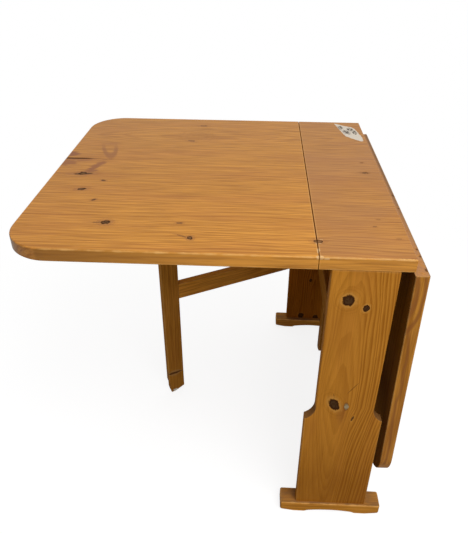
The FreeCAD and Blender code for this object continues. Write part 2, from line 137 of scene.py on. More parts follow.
class Wire:
    """One socket of a node tree."""

    def __init__(self, tree, socket=None):
        self.tree = tree
        self.socket = socket

    def feed(self, target, value):
        """Connects one wire or several to a socket, or sets its plain value."""
        wires = value if isinstance(value, list) else [value]
        for wire in wires:
            if isinstance(wire, Wire):
                self.tree.links.new(wire.socket, target)
            else:
                target.default_value = wire

    def node(self, kind, settings=None, sockets=None, out=0):
        """Adds a node, with its settings and then its sockets, and returns one of its outputs."""
        made = self.tree.nodes.new(kind)
        for name, value in (settings or {}).items():
            setattr(made, name, value)
        for key, value in (sockets or {}).items():
            self.feed(made.inputs[key], value)
        return Wire(self.tree, made.outputs[out])

    def math(self, operation, *others):
        """A Math node on this value and perhaps others."""
        values = dict(enumerate((self, *others)))
        return self.node("ShaderNodeMath", {"operation": operation}, values)

    def after(self, operation, other):
        """A Math node with this value second."""
        return self.node("ShaderNodeMath", {"operation": operation}, {0: other, 1: self})

    def __add__(self, other):
        return self.math("ADD", other)

    def __sub__(self, other):
        return self.math("SUBTRACT", other)

    def __mul__(self, other):
        return self.math("MULTIPLY", other)

    def __truediv__(self, other):
        return self.math("DIVIDE", other)

    def __rsub__(self, other):
        return self.after("SUBTRACT", other)

    def __rtruediv__(self, other):
        return self.after("DIVIDE", other)

    __radd__ = __add__
    __rmul__ = __mul__

    def __abs__(self):
        return self.math("ABSOLUTE")

    def least(self, *others):
        """The smallest of this value and others."""
        result = self
        for other in others:
            result = result.math("MINIMUM", other)
        return result

    def most(self, *others):
        """The largest of this value and others."""
        result = self
        for other in others:
            result = result.math("MAXIMUM", other)
        return result

    def root(self):
        return self.math("SQRT")

    def power_of_e(self):
        return self.math("EXPONENT")

    def fade(self, start, end):
        """0 up to start, 1 from end on and smooth between; or falling, if start is the larger."""
        return self.node("ShaderNodeMapRange", {"interpolation_type": "SMOOTHSTEP"},
                         {"Value": self, "From Min": start, "From Max": end})

    def axes(self):
        """The three numbers of a vector."""
        return [self.node("ShaderNodeSeparateXYZ", None, {0: self}, i) for i in range(3)]

    def vector(self, x, y, z):
        """A vector in this tree from three wires or numbers."""
        return self.node("ShaderNodeCombineXYZ", None, {0: x, 1: y, 2: z})

    def noise(self, lengths, detail, seed):
        """Noise around 0.5 whose grains have these lengths along the axes."""
        moved = self.node("ShaderNodeMapping", {"vector_type": "POINT"}, {
            "Vector": self, "Location": tuple(seed * move for move in SEED_MOVES),
            "Scale": tuple(1 / length for length in lengths)})
        return self.node("ShaderNodeTexNoise", None,
                         {"Vector": moved, "Scale": 1.0, "Detail": detail})

    def sway(self, lengths, detail, seed, width):
        """Noise around 0, for a line that wanders or a rim that is torn."""
        return (self.noise(lengths, detail, seed) - 0.5) * width

    def relief(self, strength, distance):
        """Normals of a surface that rises and falls with this value."""
        return self.node("ShaderNodeBump", None,
                         {"Strength": strength, "Distance": distance, "Height": self})

    def blend(self, factor, other, how="MIX"):
        """This colour mixed with another by a factor."""
        return self.node("ShaderNodeMix", {"data_type": "RGBA", "blend_type": how},
                         {0: factor, 6: self, 7: other}, 2)

    def layered(self, *layers):
        """This colour under others, each given with its mask, the lowest one first."""
        result = self
        for mask, other in layers:
            result = result.blend(mask, other)
        return result

    def between(self, low, high):
        """A colour that goes from low to high as this value goes from 0 to 1."""
        return self.node("ShaderNodeMix", {"data_type": "RGBA"}, {0: self, 6: low, 7: high}, 2)


print("wires ready")

# %% Materials and where they go
def paint(name, roughness=0.5, **constants):
    """A new material; returns it, its shader node and a first wire to start expressions from."""
    material = bpy.data.materials.new(name)
    material.use_nodes = True
    shader = material.node_tree.nodes["Principled BSDF"]
    shader.inputs["Roughness"].default_value = roughness
    for key, value in constants.items():
        shader.inputs[key.replace("_", " ")].default_value = value
    return material, shader, Wire(material.node_tree)


def plug_in(shader, **wires):
    """Connects wires to a shader's sockets."""
    for key, wire in wires.items():
        wire.feed(shader.inputs[key.replace("_", " ")], wire)


def cover(node, material):
    """Gives a CAD piece its material."""
    mesh = nodes[node].data
    mesh.materials.clear()
    mesh.materials.append(material)


print("ready to cover", len(nodes), "pieces")

# %% [markdown]
# ## Pine, ring by ring
# A board is a cut through a log, so its figure is not a picture on the face but a slice through
# rings that run round the pith. Near the pith line the saw meets the rings almost flat, which gives
# wide arches; further out they come closer and run straight. One formula gives both: the distance
# from a pith that bows and wanders a little. Ends and edges then show the right rings too,
# because the pattern fills the whole board. Round a knot the rings swerve, which is done by
# stretching the board sideways around each knot before the rings are measured.

# %% Pine colours
HONEY = (0.600, 0.258, 0.036)      # early wood under amber varnish
AMBER = (0.400, 0.150, 0.016)      # late wood, the dark line of each ring
RUDDY = (0.330, 0.110, 0.026)      # reddish streaks beside branch traces
BARK = (0.055, 0.020, 0.007)       # rim and heart of a dead knot
HEART = (0.165, 0.085, 0.036)      # face of a dead knot
HALO = (0.700, 0.350, 0.080)       # pale wood pushed up round a knot
WORN_AND_HIGHLIGHT = (0.760, 0.410, 0.125)       # an arris where the varnish has gone thin, and on the top also a painted highlight
RAW = (0.800, 0.540, 0.270)        # bare wood where a chip has come off
END = (0.200, 0.100, 0.040)        # end grain, which drinks the varnish and goes dull


def shade(colour, factor=1.0, coats=1.0):
    """A colour under more or fewer coats of amber varnish, made darker or lighter."""
    return (*[min(1.0, c ** coats * factor) for c in colour], 1)


print("early wood", shade(HONEY), "late wood", shade(AMBER))

# %% A board's own coordinates, and spots on it
def measured(start, origin=RULER, turn=(0, 0, 0)):
    """Place on a board in millimetres, from an origin and along the board's own turned axes."""
    at = start.node("ShaderNodeTexCoord", out="Object")
    return at.node("ShaderNodeMapping", {"vector_type": "TEXTURE"},
                   {"Vector": at, "Location": tuple(origin), "Rotation": turn,
                    "Scale": (MM, MM, MM)})


def oval(face, centre, radii, lean=0.0):
    """Distance from a spot on the face, 1 at its rim; lean turns it, in degrees."""
    spot = face.node("ShaderNodeMapping", {"vector_type": "TEXTURE"},
                     {"Vector": face, "Location": (*centre, 0),
                      "Rotation": (0, 0, math.radians(lean)), "Scale": (*radii, 1)})
    return spot.node("ShaderNodeVectorMath", {"operation": "LENGTH"}, {0: spot}, "Value")


def nearest(face, spots, torn):
    """Distance from the nearest of several spots with torn rims, each given as for oval."""
    ovals = [oval(face, *spot) + torn for spot in spots]
    return ovals[0].least(*ovals[1:])


print("a board is measured in units of", MM, "m")

# %% Rings
ARCH_TIP = 60.0                    # how bluntly an arch turns at its tip
RING_GROUP = 21.0                  # rings come wider and closer in groups about this wide
RING_SLIP = 2.2                    # by how many rings a group runs ahead or behind
DARKEST, RING_OVER = 0.88, 0.93    # where in a ring the late wood is darkest and where it stops
FAN_OPENS, FAN_WIDTH = 0.009, 22.0


def swerve(face, across, knots):
    """The across coordinate, stretched round each knot so that the rings flow past it."""
    for along, side, long, wide, *_ in knots:
        near = oval(face, (along, side), (long * 3.4 + 8, wide * 2.2 + 4))
        pull = (near * near * -1.0).power_of_e()
        across = across - (across - side) * pull * 0.6
    return across


def by_stave(across, edges, values):
    """A value that changes from one glued stave of a board to the next."""
    result = values[0]
    for edge, before, after in zip(edges, values, values[1:]):
        result = across.math("GREATER_THAN", edge) * (after - before) + result
    return result


def rings(along, across, deep, solid, wood, true_across):
    """How late the wood is at a point, 0 to 1, by its distance from the pith."""
    seed = wood["seed"]
    log = {key: by_stave(true_across, wood["staves"], wood[key])
           for key in ("side", "depth", "ring", "vertex", "tilt")}
    if "fan" in wood:
        below = (wood["fan"] - along).most(0.0)
        lean = (1.0 - (below * -FAN_OPENS).power_of_e()) * FAN_WIDTH
        across = across + lean * across.fade(-20.0, 20.0)
    drift = solid.sway(wood["drift"], 1.0, seed, wood["wander"])
    ripple = solid.sway((150, 16, 16), 2.0, seed + 1, wood["ripple"])
    rise = along - log["vertex"]
    bow = (rise * rise + ARCH_TIP * ARCH_TIP).root() * log["tilt"]
    sideways = across - log["side"] + drift
    inwards = deep - log["depth"] + bow + ripple
    radius = (sideways * sideways + inwards * inwards).root()
    uneven = radius.node("ShaderNodeTexNoise", {"noise_dimensions": "1D"},
                         {"W": radius / RING_GROUP + seed * 5.0, "Scale": 1.0, "Detail": 1.0})
    step = (radius / log["ring"] + uneven * RING_SLIP).math("FRACT")
    return step.fade(wood["crisp"], DARKEST) * step.fade(1.0, RING_OVER), uneven


print("rings about a pith, with arches turning in", ARCH_TIP, "mm")

# %% Knots
def knot_masks(face, knots, solid, seed, torn):
    """Masks of all knots together: face, rim, pale halo, rings that stand off, and a red stain."""
    bodies, rims, halos, echoes, auras = [], [], [], [], []
    for index, (along, side, long, wide, lean, strength) in enumerate(knots):
        ragged = solid.sway((long * 0.7, wide * 0.6, 5), 3.0, seed + index, torn)
        near = oval(face, (along, side), (long, wide), lean) + ragged
        bodies.append(near.fade(1.05, 0.80) * strength)
        rims.append(near.fade(0.45, 0.90) * near.fade(1.18, 0.96) * strength)
        halos.append(near.fade(0.95, 1.10) * near.fade(1.8, 1.2) * strength)
        loops = (near - ragged * 0.6) * 1.7
        echo = abs(loops.math("FRACT") - 0.5).fade(0.26, 0.06)
        echoes.append(echo * near.fade(1.2, 1.5) * near.fade(3.4, 1.9) * strength)
        auras.append((near + ragged).fade(2.5, 0.9) * strength)
    return [masks[0].most(*masks[1:]) for masks in (bodies, rims, halos, echoes, auras)]


print("knots: face, rim, halo, echo and stain")

# %% [markdown]
# ## One recipe for every board
# All the boards share the recipe and differ in their log, their knots and their wear. Over the
# rings lie veins, lines and fibres, which are noises drawn out along the grain, some lighter and
# some darker than the wood. A knot pushes up pale wood round itself and may stain it red. Varnish
# wears through first along arrises, which are the points close to two faces of the board at once,
# so a mask from the board's own box finds them. On the top that pale arris is also a painted
# highlight. The varnish is a clear coat over the wood. It is thickest on the top, thin on the
# boards below, and missing from worn arrises and knots, so its weight is one more pattern, beside
# colour, roughness and a light bump.

# %% What a board is made of, unless its own description says otherwise
AXIS = {"x": 0, "y": 1, "z": 2}
USUAL = {
    "staves": (),                  # where across the board one glued stave ends
    "clear": (0.1,),               # how clearly the rings show in each stave
    "crisp": 0.2,                  # where in a ring the late wood starts
    "ripple": 6.0,                 # small waves of the rings, in mm
    "fine": 1.0,                   # how much the veins and lines show
    "tone": 1.0,                   # lighter or darker
    "coats": 1.0,                  # coats of amber varnish
    "halo": 0.2,                   # how pale the wood is round a knot
    "aura": 0.0,                   # how red it is there
    "torn": 0.9}                   # how ragged a knot's rim is
GRAIN = {                          # noises along the grain: lengths in mm, detail, step of the seed
    "fibre": ((70, 0.9, 0.9), 3.0, 2),
    "thread": ((16, 0.35, 0.35), 2.0, 3),
    "patch": ((260, 60, 60), 2.0, 4),
    "cloud": ((150, 22, 22), 3.0, 7),
    "dash": ((26, 1.6, 1.6), 1.0, 8),
    "vein": ((130, 4.5, 4.5), 2.0, 10),
    "line": ((85, 2.3, 2.3), 1.0, 11)}
LAYERS = (                         # which noise, where it starts and is full, how much, and a colour
    ("cloud", 0.46, 0.70, 0.30, HONEY, 1.22),
    ("cloud", 0.50, 0.28, 0.24, AMBER, 1.15),
    ("vein", 0.48, 0.32, 0.34, HONEY, 1.25),
    ("vein", 0.52, 0.68, 0.42, AMBER, 0.95),
    ("fibre", 0.42, 0.80, 0.34, AMBER, 1.0),
    ("line", 0.50, 0.66, 0.58, AMBER, 0.85),
    ("line", 0.46, 0.32, 0.36, HONEY, 1.35),
    ("dash", 0.66, 0.80, 0.55, AMBER, 0.8),
    ("patch", 0.42, 0.72, 0.22, RUDDY, 1.3))
print(len(GRAIN), "noises in", len(LAYERS), "layers of colour")

# %% Pine recipe
BUMP_STRENGTH, BUMP_DISTANCE = 0.35, 0.00035


def box_arris(axes, corners, solid, seed):
    """Near 1 along the edges of a box-shaped board."""
    gaps = [(high - c).least(c - low) for c, low, high in zip(axes, *corners)]
    total = gaps[0] + gaps[1] + gaps[2]
    two_nearest = total - gaps[0].most(gaps[1], gaps[2])
    return (two_nearest + solid.sway((22, 22, 22), 3.0, seed, 5.0)).fade(3.4, 0.8)


def pine(name, grain, across, corners, wood, knots=(), marks=None, origin=RULER, turn=(0, 0, 0)):
    """A pine material: grain and across name the board's axes, corners its box on the ruler."""
    wood = {**USUAL, **wood}
    seed = wood["seed"]

    def stain(colour, factor=1.0):
        """A colour in this board's own tone, under its own coats."""
        return shade(colour, wood["tone"] * factor, wood["coats"])

    material, shader, start = paint(name, Specular_IOR_Level=0.0, Coat_Roughness=0.14,
                                    Coat_IOR=1.48)
    xyz = measured(start, origin, turn).axes()
    a, b = xyz[AXIS[grain]], xyz[AXIS[across]]
    deep = xyz[3 - AXIS[grain] - AXIS[across]]
    face = start.vector(a, b, 0.0)
    solid = start.vector(a, b, deep)
    late, uneven = rings(a, swerve(face, b, knots), deep, solid, wood, b)
    noises = {key: solid.noise(lengths, detail, seed + step)
              for key, (lengths, detail, step) in GRAIN.items()}
    strength = late * (uneven * 0.9 + by_stave(b, wood["staves"], wood["clear"]))
    if "strong" in wood:
        strength = strength * (b.fade(*wood["strong"]) * 0.85 + 0.5)
    colour = strength.least(1.0).between(stain(HONEY), stain(AMBER))
    for key, begins, full, amount, pigment, factor in LAYERS:
        if key in ("vein", "line"):
            amount = amount * wood["fine"]
        colour = colour.blend(noises[key].fade(begins, full) * amount, stain(pigment, factor))
    fibre, thread = noises["fibre"], noises["thread"]
    rough = fibre * 0.16 + 0.30
    height = late * 0.35 + thread * 0.5 + fibre * 0.6
    gloss = (thread * 0.5 + 0.75) * wood["varnish"]
    if marks:
        colour, gloss, height = marks(xyz, face, solid, colour, gloss, height)
    if knots:
        body, rim, halo, echo, aura = knot_masks(face, knots, solid, seed + 9, wood["torn"])
        speck = solid.noise((5, 3, 3), 4.0, seed + 6)
        black = (rim + body * speck.fade(0.50, 0.66)).least(1.0)
        colour = colour.layered((aura * wood["aura"], stain(RUDDY)),
                                (echo * 0.22, stain(AMBER, 0.8)),
                                (halo * wood["halo"], stain(HALO)),
                                (body, stain(HEART, wood["heart"])),
                                (black, shade(BARK)))
        rough = rough + body * 0.14
        gloss = gloss * (1.0 - body.most(rim) * 0.9)
        height = height - rim * 1.6 + body * speck * 1.2
    # Along the arrises the varnish wears pale. On the top this is also a painted highlight.
    arris_wear_and_highlight = box_arris(xyz, corners, solid, seed + 5) * wood["wear"]
    plug_in(shader, Base_Color=colour.blend(arris_wear_and_highlight, stain(WORN_AND_HIGHLIGHT)),
            Roughness=(rough + arris_wear_and_highlight * 0.18).least(0.9), Coat_Weight=gloss * (1.0 - arris_wear_and_highlight * 0.6),
            Normal=height.relief(BUMP_STRENGTH, BUMP_DISTANCE))
    return material


print("pine recipe ready")

# %% [markdown]
# ## The glued panel of the top
# The fixed board and the leaves were sawn from one panel of staves glued edge to edge, which is why
# a knot near the front is cut in two by the left joint and the grain carries on across it. So both
# boards use one log description on one ruler, and each stave has its own pith, ring width and bow.
# The outer end of the raised leaf has a split along a glue line, with branch traces beside it.

# %% The top's log and knots
# A knot is given by its place along and across the grain, its two radii, lean and strength.
# The top's strong arris wear, 0.8, also paints a highlight along its arrises.
PANEL = {"seed": 1.0, "staves": (170, 441.5), "side": (-70, -60, 620), "depth": (690, 660, 690),
         "ring": (9.5, 7.0, 8.0), "vertex": (-300, -300, -365), "tilt": (0.03, 0.02, 0.10),
         "clear": (0.62, 0.36, 0.12), "crisp": 0.45, "wander": 46, "drift": (380, 120, 120),
         "wear": 0.8, "varnish": 0.36, "heart": 1.15, "aura": 0.8, "torn": 1.25}
CENTRE_TONE = 0.94
SEAM_KNOT = (-86, 57, 8.5, 5.5, 0, 0.7)
LEAF_KNOTS = [
    SEAM_KNOT, (-502, 109, 9, 7.5, 0, 0.95), (-512, 108, 17, 2.6, 4, 0.5),
    (-328, 56, 5, 6, 20, 0.95), (-355, 114, 6.0, 2.4, 5, 0.8), (-592, 260, 9.5, 5.0, 18, 0.95),
    (-552, 208, 4.8, 3.0, 50, 0.9), (-556, 309, 4.8, 3.0, -15, 0.9), (-614, 346, 9.0, 8, 0, 0.95),
    (-613, 344, 21, 4.6, 8, 0.75), (-345, 63, 10, 2, -25, 0.4), (-362, 706, 10, 6, 0, 0.3),
    (-384, 581, 10, 5, -20, 0.35)]
CENTRE_KNOTS = [
    SEAM_KNOT, (51, 390, 7, 4, 0, 0.75), (46, 389, 18, 2.2, 0, 0.35), (52, 453, 4.5, 2.5, 0, 0.45),
    (42, 152, 4, 2, 0, 0.3), (30, 122, 4, 2.2, 0, 0.45), (68, 75, 5, 3, 0, 0.2)]
print("top panel:", len(LEAF_KNOTS) + len(CENTRE_KNOTS), "knots")

# %% Wear that both boards of the top share
FRONT_FACE = (2.8, 0.8)            # mm from the front, where the front edge's own face begins


def rubbed_front(y, solid, colour):
    """The front edge of a top board, where hands and chairs have rubbed the varnish lighter."""
    front = y.fade(*FRONT_FACE)
    band = solid.noise((110, 8, 8), 2.0, 17.0).fade(0.3, 0.7)
    flame = solid.noise((150, 60, 6.5), 2.0, 19.0).fade(0.50, 0.64)
    return colour.layered((front * (band * 0.4 + 0.25), shade(HONEY, 1.5)),
                          (front * flame * 0.42, shade(AMBER, 0.9)))


def worn_joint(x, edge, colour, gloss):
    """Where two boards of the top meet: varnish rubbed pale, and dirt in the joint itself."""
    off = abs(x - edge)
    dirt_and_shade = off.fade(0.9, 0.5)
    colour = colour.layered((off.fade(3.6, 1.2) * 0.35, shade(WORN_AND_HIGHLIGHT)),
                            (dirt_and_shade * 0.85, shade(RUDDY, 0.85)))
    return colour, gloss * (1.0 - dirt_and_shade)


def bare_below(z, gloss):
    """Varnish of a top board, thick above and only a thin first coat on the underside."""
    return gloss * (z.fade(UNDERSIDE + 1.0, UNDERSIDE + 4.0) * 0.85 + 0.15)


def joint_chips(face, z, solid, spots):
    """Near 1 on small chips, each a middle and two radii, broken out of a top arris."""
    torn = solid.sway((5, 5, 5), 3.0, 21.0, 1.2)
    return nearest(face, spots, torn).fade(1.1, 0.7) * z.fade(TOP - 6.0, TOP - 3.0)


print("front edge worn over", FRONT_FACE[0], "mm")

# %% Marks of the raised leaf
SPLIT_LINE = 439.0                 # the glue line that opened at the outer end
BRANCH_TRACES = (                  # middle, radii, lean and depth of colour of each
    ((-594, 392), (37, 10.5), 70, 0.9), ((-602, 362), (16, 12), 20, 0.8),
    ((-592, 545), (30, 10), 10, 0.3), ((-674, 468), (17, 15), -30, 1.0),
    ((-668, 408), (19, 25), 40, 0.8), ((-646, 431), (44, 10), 0, 0.6))
LEAF_CHIPS = (((-91, 2), (3, 3)), ((-89.5, 22), (1.6, 9)), ((-90, 50), (1.8, 5)))
LEAF_CORNER = 90.0
NEAR_HALF_PAINTED_LIGHT = (1.07, 1.07, 1.07, 1)     # painted light: the half of the leaf near the front is made lighter
leaf_low, leaf_high = span("left_leaf")
LEAF_OUTER, LEAF_INNER = leaf_low.x, leaf_high.x


def leaf_outer_end(x, y):
    """Near 1 on the end-grain face of the raised leaf, fading out round its two corners."""
    drop = (LEAF_CORNER - y.least(DEPTH - y)).most(0.0)
    bulge = (LEAF_CORNER * LEAF_CORNER - drop * drop).most(0.0).root()
    gap = x - (LEAF_OUTER + LEAF_CORNER) + bulge
    return gap.fade(0.9, 0.2) * drop.fade(LEAF_CORNER * 0.9, LEAF_CORNER * 0.5)


def leaf_figure(x, y, face, solid, wavy, colour):
    """Branch traces, an eye in the grain, a flame and a bright line on the raised leaf."""
    torn = solid.sway((20, 5, 5), 3.0, 12.0, 2.4)
    for centre, radii, lean, depth in BRANCH_TRACES:
        streak = (oval(face, centre, radii, lean) + torn).fade(1.3, 0.5)
        colour = colour.blend(streak * depth, shade(RUDDY, 0.9))
    loop = oval(face, (-594, 530), (17, 77), 16)
    arms = abs(loop - 0.95 + torn * 0.1).fade(0.42, 0.10) * y.fade(560.0, 490.0)
    swirl = oval(face, (-374, 618), (48, 50)) + torn * 0.3
    eye = abs((swirl * 2.6).math("FRACT") - 0.5).fade(0.3, 0.05) * swirl.fade(1.25, 0.9)
    rays = solid.noise((34, 5, 5), 2.0, 8.0).fade(0.46, 0.62)
    flame = oval(face, (-285, 655), (70, 16), -22).fade(1.2, 0.2)
    off_line = abs(y - 411.0 - (x + 426.0) * 0.009 + wavy * 0.5)
    bright = off_line.fade(3.0, 0.8) * x.fade(-520.0, -410.0)
    return colour.layered((x.fade(-470.0, -660.0) * 0.10, shade(RUDDY, 1.3)),
                          (arms * 0.62, shade(RUDDY, 0.9)),
                          (eye * 0.22, shade(AMBER, 0.9)),
                          (flame * rays * 0.35, shade(AMBER, 0.9)),
                          (bright * 0.4, shade(HONEY, 1.4)))


def leaf_marks(xyz, face, solid, colour, gloss, height):
    """Figure, split, worn edges, dull outer end, and painted light and shade of the raised leaf."""
    x, y, z = xyz
    wavy = solid.sway((60, 40, 40), 2.0, 31.0, 4.0)
    line = abs(y - SPLIT_LINE + wavy)
    split = line.fade(5.2, 1.6) * x.fade(-606.0, -640.0)
    thin = line.fade(2.2, 0.3) * x.fade(-500.0, -600.0)
    opened = (split + thin * 0.6).least(1.0)
    colour = leaf_figure(x, y, face, solid, wavy, colour).blend(opened, shade(BARK, 1.2))
    # Painted light: the half of the leaf near the front is lightened.
    colour = colour.blend(y.fade(430.0, 20.0), NEAR_HALF_PAINTED_LIGHT, "MULTIPLY")
    colour, gloss = worn_joint(x, LEAF_INNER, colour, bare_below(z, gloss))
    # Painted shade: the front edge grows darker towards the outer end, where less light falls.
    painted_shade_on_front_edge = y.fade(*FRONT_FACE) * x.fade(-180.0, -620.0)
    colour = rubbed_front(y, solid, colour).layered(
        (painted_shade_on_front_edge * 0.66, shade(AMBER, 0.62)),
        (leaf_outer_end(x, y) * 0.85, shade(END, 1.15)),
        (joint_chips(face, z, solid, LEAF_CHIPS) * 0.6, shade(RAW)))
    return colour, gloss * (1.0 - opened), height - split * 3.0


print("raised leaf:", len(BRANCH_TRACES), "branch traces and", len(LEAF_CHIPS), "chips")

# %% Marks of the fixed board, and both boards covered
PAINTED_SHEEN_GREY = (0.370, 0.170, 0.085)       # painted sheen: the grey, pinkish look of light reflected off the top
CENTRE_CHIPS = (((-84, 2), (4, 3.5)), ((-87, 26), (2, 7)), ((-74, 0), (5, 1.2)),
                ((-83, 50), (3, 2.5)), ((-80, 64), (4, 2)))
PAST_JOINT = 12                    # mm by which a board's box is taken past a leaf joint


def centre_marks(xyz, face, solid, colour, gloss, height):
    """Rubbed front edge, painted sheen on the top face of the fixed board, and chips that the leaf
    knocked off.
    """
    x, y, z = xyz
    # Painted sheen: a grey tint over the top face stands in for reflected light.
    painted_sheen = solid.noise((200, 160, 160), 2.0, 61.0).fade(0.3, 0.7) * 0.2 + 0.16
    colour = colour.blend(painted_sheen * z.fade(TOP - 2.0, TOP - 0.5), shade(PAINTED_SHEEN_GREY))
    colour, gloss = worn_joint(x, -HALF_CENTRE, colour, bare_below(z, gloss))
    chip = joint_chips(face, z, solid, CENTRE_CHIPS)
    colour = rubbed_front(y, solid, colour).blend(chip * 0.7, shade(RAW))
    return colour, gloss * (1.0 - chip), height - chip * 1.5


def beyond(node, west, east):
    """A board's box, longer past its leaf joints, where hands never wear the arris."""
    low, high = span(node)
    return low - Vector((west, 0, 0)), high + Vector((east, 0, 0))


cover("left_leaf", pine("pine_raised_leaf", "x", "y", beyond("left_leaf", 0, PAST_JOINT), PANEL,
                        LEAF_KNOTS, leaf_marks))
cover("centre_top", pine("pine_centre_board", "x", "y", beyond("centre_top", PAST_JOINT, PAST_JOINT),
                         {**PANEL, "tone": CENTRE_TONE}, CENTRE_KNOTS, centre_marks))
print("fixed board:", len(CENTRE_CHIPS), "chips; both boards covered")

# %% [markdown]
# ## The hanging leaf
# This leaf is the other end of the panel, so it takes the same staves, but it hangs: its grain runs
# down, and its ruler starts at its hinge line and leans with it. Its own knots show only from the
# right. Its sawn butt end faces up beside the fixed board, where dust and wear have left it dull
# and spotted. The inner face is darkened with painted shade and was never polished, so it hardly
# shines.

# %% The hanging leaf's log and place
HANGING = {**PANEL, "seed": 2.0, "depth": (-25, -45, -15), "vertex": (-400, -400, -320),
           "wear": 0.3, "varnish": 0.12}
HANGING_KNOTS = [(-70, 96, 13, 9, 0, 0.9), (-290, 300, 10, 8, 10, 0.85),
                 (-460, 520, 12, 9, -8, 0.9), (-150, 640, 8, 6, 0, 0.8)]
FOLD_POINT = place(FOLD.x, 0, FOLD.z)
HANGING_FOOT, HANGING_BUTT = LEAF_OUTER + FOLD.x, LEAF_INNER + FOLD.x
HANGING_INNER, HANGING_OUTER = UNDERSIDE - FOLD.z, TOP - FOLD.z
HANGING_BOX = ((HANGING_INNER, 0, HANGING_FOOT), (HANGING_OUTER, DEPTH, HANGING_BUTT))
print("hanging leaf: butt end", round(HANGING_BUTT, 1), "mm above its hinge line")

# %% Marks of the hanging leaf
DUST = (0.430, 0.220, 0.105)
GRIME = (0.170, 0.105, 0.065)
BUTT_SPOTS = ((341, 6), (274, 4), (96, 5), (70, 4), (22, 7))     # place and half length of each


def edge_figure(x, y, z, solid):
    """Dark lines on the front edge: rings round a hidden branch near the top, then a wavy line."""
    ring = oval(solid.vector(z, x, 0.0), (-45, 0), (88, 26))
    ring = ring + solid.sway((60, 20, 20), 2.0, 41.0, 0.5) * 0.4
    arcs = abs(ring - 1.0).fade(0.19, 0.04).most(abs(ring - 0.50).fade(0.26, 0.08))
    vein = solid.noise((150, 900, 900), 2.0, 42.0) * 34.0 - 2.0
    line = abs(x - vein).fade(5.0, 0.8) * z.fade(-118.0, -150.0)
    return arcs.most(line * 0.85) * y.fade(6.0, 2.0)


def hanging_marks(xyz, face, solid, colour, gloss, height):
    """Spotted butt edge and figured front edge of the hanging leaf, and painted shade on its inner
    face.
    """
    x, y, z = xyz
    butt = z.fade(HANGING_BUTT - 1.0, HANGING_BUTT - 0.3)
    below = 1.0 - butt
    # Painted shade: the inner face is darkened. The same mask takes most of its varnish off.
    inner = x.fade(HANGING_INNER + 1.2, HANGING_INNER + 0.3) * below
    dusty = solid.noise((30, 12, 12), 3.0, 3.0).fade(0.3, 0.6) * 0.4 + 0.4
    far_rim = x.fade(HANGING_OUTER - 9.0, HANGING_OUTER - 4.0) * y.fade(60.0, 420.0)
    far_rim = far_rim + x.fade(HANGING_OUTER - 3.5, HANGING_OUTER - 1.5)
    spots = [((HANGING_OUTER - 2.0, side), (5, wide)) for side, wide in BUTT_SPOTS]
    ragged = solid.sway((6, 4, 4), 3.0, 9.0, 1.4)
    spot = nearest(solid.vector(x, y, 0.0), spots, ragged).fade(1.1, 0.6) * butt
    colour = colour.layered((y.fade(6.0, 2.0) * below * 0.2, shade(AMBER, 0.9)),
                            (edge_figure(x, y, z, solid) * below * 0.7, shade(RUDDY, 0.8)),
                            (inner * 0.7, shade(AMBER, 0.2)),
                            (butt * dusty, shade(DUST)),
                            (butt * far_rim.least(1.0) * 0.75, shade(GRIME)),
                            (spot * 0.85, shade(BARK, 1.8)))
    return colour, gloss * (1.0 - inner * 0.97), height


cover("right_leaf", pine("pine_hanging_leaf", "z", "y", HANGING_BOX, HANGING, HANGING_KNOTS,
                         hanging_marks, FOLD_POINT, (0, -LEAN, 0)))
print("hanging leaf:", len(HANGING_KNOTS), "knots and", len(BUTT_SPOTS), "spots on its butt end")

# %% [markdown]
# ## End panels
# The front panel is the table's face when it is folded. It is sawn close to the pith: arches run up
# its middle and a fan of dark lines closes in on the right. Two black knots sit near the top with
# pale wood round them, a long leaning one at mid height beside the stretcher's plug.

# %% The panels' logs and knots
FRONT_WOOD = {"seed": 3.0, "side": (-15,), "depth": (-13,), "ring": (6.0,), "vertex": (385.0,),
              "tilt": (0.09,), "fan": 362.0, "wander": 16, "drift": (300, 50, 50), "ripple": 4.0,
              "strong": (-6, 26), "clear": (0.46,), "fine": 0.3, "wear": 0.25, "coats": 1.06,
              "varnish": 0.03, "halo": 0.5, "heart": 0.55}
FRONT_KNOTS = [(646.5, -25.5, 12, 11.5, 10, 1.0), (629.5, 10, 7.5, 6, 20, 1.0),
               (371, -24.5, 17.5, 10, -25, 1.0), (329.0, 19.5, 7.5, 2.0, 15, 0.8)]
# The rear panel's 1.3 coats give it a deeper, redder colour that is painted shade, the red light
# bounced under the top.
REAR_WOOD = {**FRONT_WOOD, "seed": 4.0, "side": (12,), "depth": (778,), "strong": (30, -10),
             "coats": 1.3, "varnish": 0.01, "halo": 0.1}
REAR_KNOTS = [(192, -10, 6, 5, 0, 0.8), (40, -33, 11, 9, 0, 0.9), (34, 19, 10, 9, 0, 0.9),
              (520, 22, 12, 9, 15, 0.9)]
print("end panels:", len(FRONT_KNOTS) + len(REAR_KNOTS), "knots")

# %% Marks of the panels
COVE_SIDE, COVE_HEIGHT, COVE_RADIUS = 103.0, 358.5, 40.0
PANEL_LOW_SHADE = (0.215, 0.062, 0.002)     # painted shade, darker towards the floor
FILLER = (0.285, 0.215, 0.110)


def cove_end(x, z):
    """Near 1 on the two hollow shoulders, where the saw crossed the grain."""
    across = abs(x) - COVE_SIDE
    up = z - COVE_HEIGHT
    away = (across * across + up * up).root()
    return abs(away - COVE_RADIUS).fade(1.3, 0.6) * z.fade(318.0, 324.0) * z.fade(362.0, 357.0)


